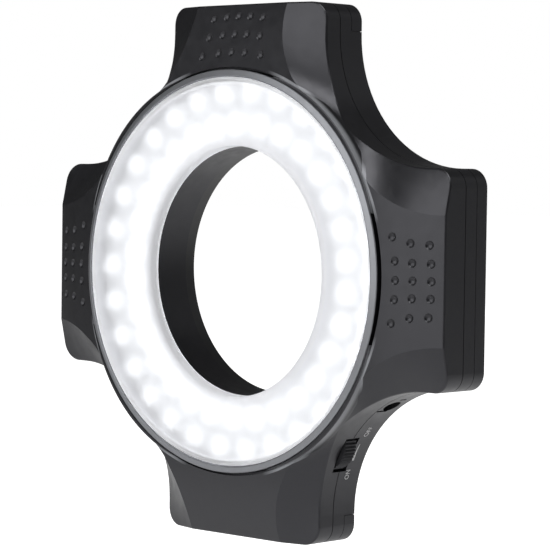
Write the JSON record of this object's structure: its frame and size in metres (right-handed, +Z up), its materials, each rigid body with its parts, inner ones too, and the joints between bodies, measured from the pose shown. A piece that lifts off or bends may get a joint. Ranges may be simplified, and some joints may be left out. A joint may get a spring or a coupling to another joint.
{
  "type": "led ring light",
  "caption": "Flat battery-powered ring light with lobed body, diffused lamps round an open lens bore, a dimmer wheel, a DC inlet and sliding battery doors.",
  "frame": {"origin": "centre of the lens bore's rear rim, in the flat rear plane", "axes": "+Y out of the bore towards the rear, where the lens is; +Z up, towards the top lobe; +X to the right seen from the front"},
  "size_m": [0.1732, 0.0275, 0.1732],
  "materials": {
    "housing_black": "fine satin texture, charcoal black",
    "bezel_grey": "smooth satin, light grey",
    "diffuser_white": "milky translucent white, slightly frosted",
    "lamp_board_white": "white solder mask",
    "lamp_yellow": "clear lens over pale phosphor",
    "screw_steel": "zinc plated",
    "screw_black": "black oxide",
    "ring_anodised": "black anodised, fine turned marks",
    "board_green": "green solder mask",
    "ferrite_grey": "sintered, dull",
    "can_silver": "drawn metal can",
    "chip_black": "moulded, dull",
    "spindle_steel": "ground",
    "wheel_black": "satin with fine knurling",
    "inlet_black": "moulded, smooth",
    "contact_nickel": "nickel plated",
    "spring_steel": "nickel plated wire",
    "lead_red": "smooth insulation",
    "lead_black": "smooth insulation",
    "tray_black": "moulded, dull",
    "cell_wrap": "plain wrapped steel can"
  },
  "bodies": {
    "housing": {"front_shell": "housing_black", "rear_shell": "housing_black", "bezel_ring": "bezel_grey", "diffuser": "diffuser_white", "lamp_board": "lamp_board_white", "lamps_outer_row": "lamp_yellow", "lamps_inner_row": "lamp_yellow", "lamp_board_screws": "screw_steel", "lens_ring": "ring_anodised", "lens_ring_screws": "screw_black", "shell_screws": "screw_black", "driver_board": "board_green", "driver_inductor": "ferrite_grey", "driver_capacitor": "can_silver", "driver_chips": "chip_black", "driver_board_screws": "screw_steel", "dimmer_potentiometer": "can_silver", "dc_inlet": "inlet_black", "dc_inlet_pin": "contact_nickel", "battery_leads": "lead_red", "lamp_leads": "lead_black", "battery_tray_top": "tray_black", "cell_inner_top": "cell_wrap", "cell_outer_top": "cell_wrap", "contact_plates_top": "contact_nickel", "contact_springs_top": "spring_steel", "battery_tray_right": "tray_black", "cell_inner_right": "cell_wrap", "cell_outer_right": "cell_wrap", "contact_plates_right": "contact_nickel", "contact_springs_right": "spring_steel", "battery_tray_bottom": "tray_black", "cell_inner_bottom": "cell_wrap", "cell_outer_bottom": "cell_wrap", "contact_plates_bottom": "contact_nickel", "contact_springs_bottom": "spring_steel", "battery_tray_left": "tray_black", "cell_inner_left": "cell_wrap", "cell_outer_left": "cell_wrap", "contact_plates_left": "contact_nickel", "contact_springs_left": "spring_steel"},
    "dimmer": {"dimmer_wheel": "wheel_black", "dimmer_spindle": "spindle_steel"},
    "door_top": {"battery_door_top": "housing_black"},
    "door_right": {"battery_door_right": "housing_black"},
    "door_bottom": {"battery_door_bottom": "housing_black"},
    "door_left": {"battery_door_left": "housing_black"}
  },
  "joints": [
    {"name": "dimmer_turn", "type": "hinge", "parent": "housing", "child": "dimmer", "pos_m": [0.0329, -0.0104, -0.05375], "axis": [0, 1, 0], "range_deg": [-140, 140]},
    {"name": "door_top_slide", "type": "slide", "parent": "housing", "child": "door_top", "axis": [0, 0, 1], "range_m": [0, 0.023]},
    {"name": "door_right_slide", "type": "slide", "parent": "housing", "child": "door_right", "axis": [1, 0, 0], "range_m": [0, 0.023]},
    {"name": "door_bottom_slide", "type": "slide", "parent": "housing", "child": "door_bottom", "axis": [0, 0, -1], "range_m": [0, 0.023]},
    {"name": "door_left_slide", "type": "slide", "parent": "housing", "child": "door_left", "axis": [-1, 0, 0], "range_m": [0, 0.023]}
  ]
}
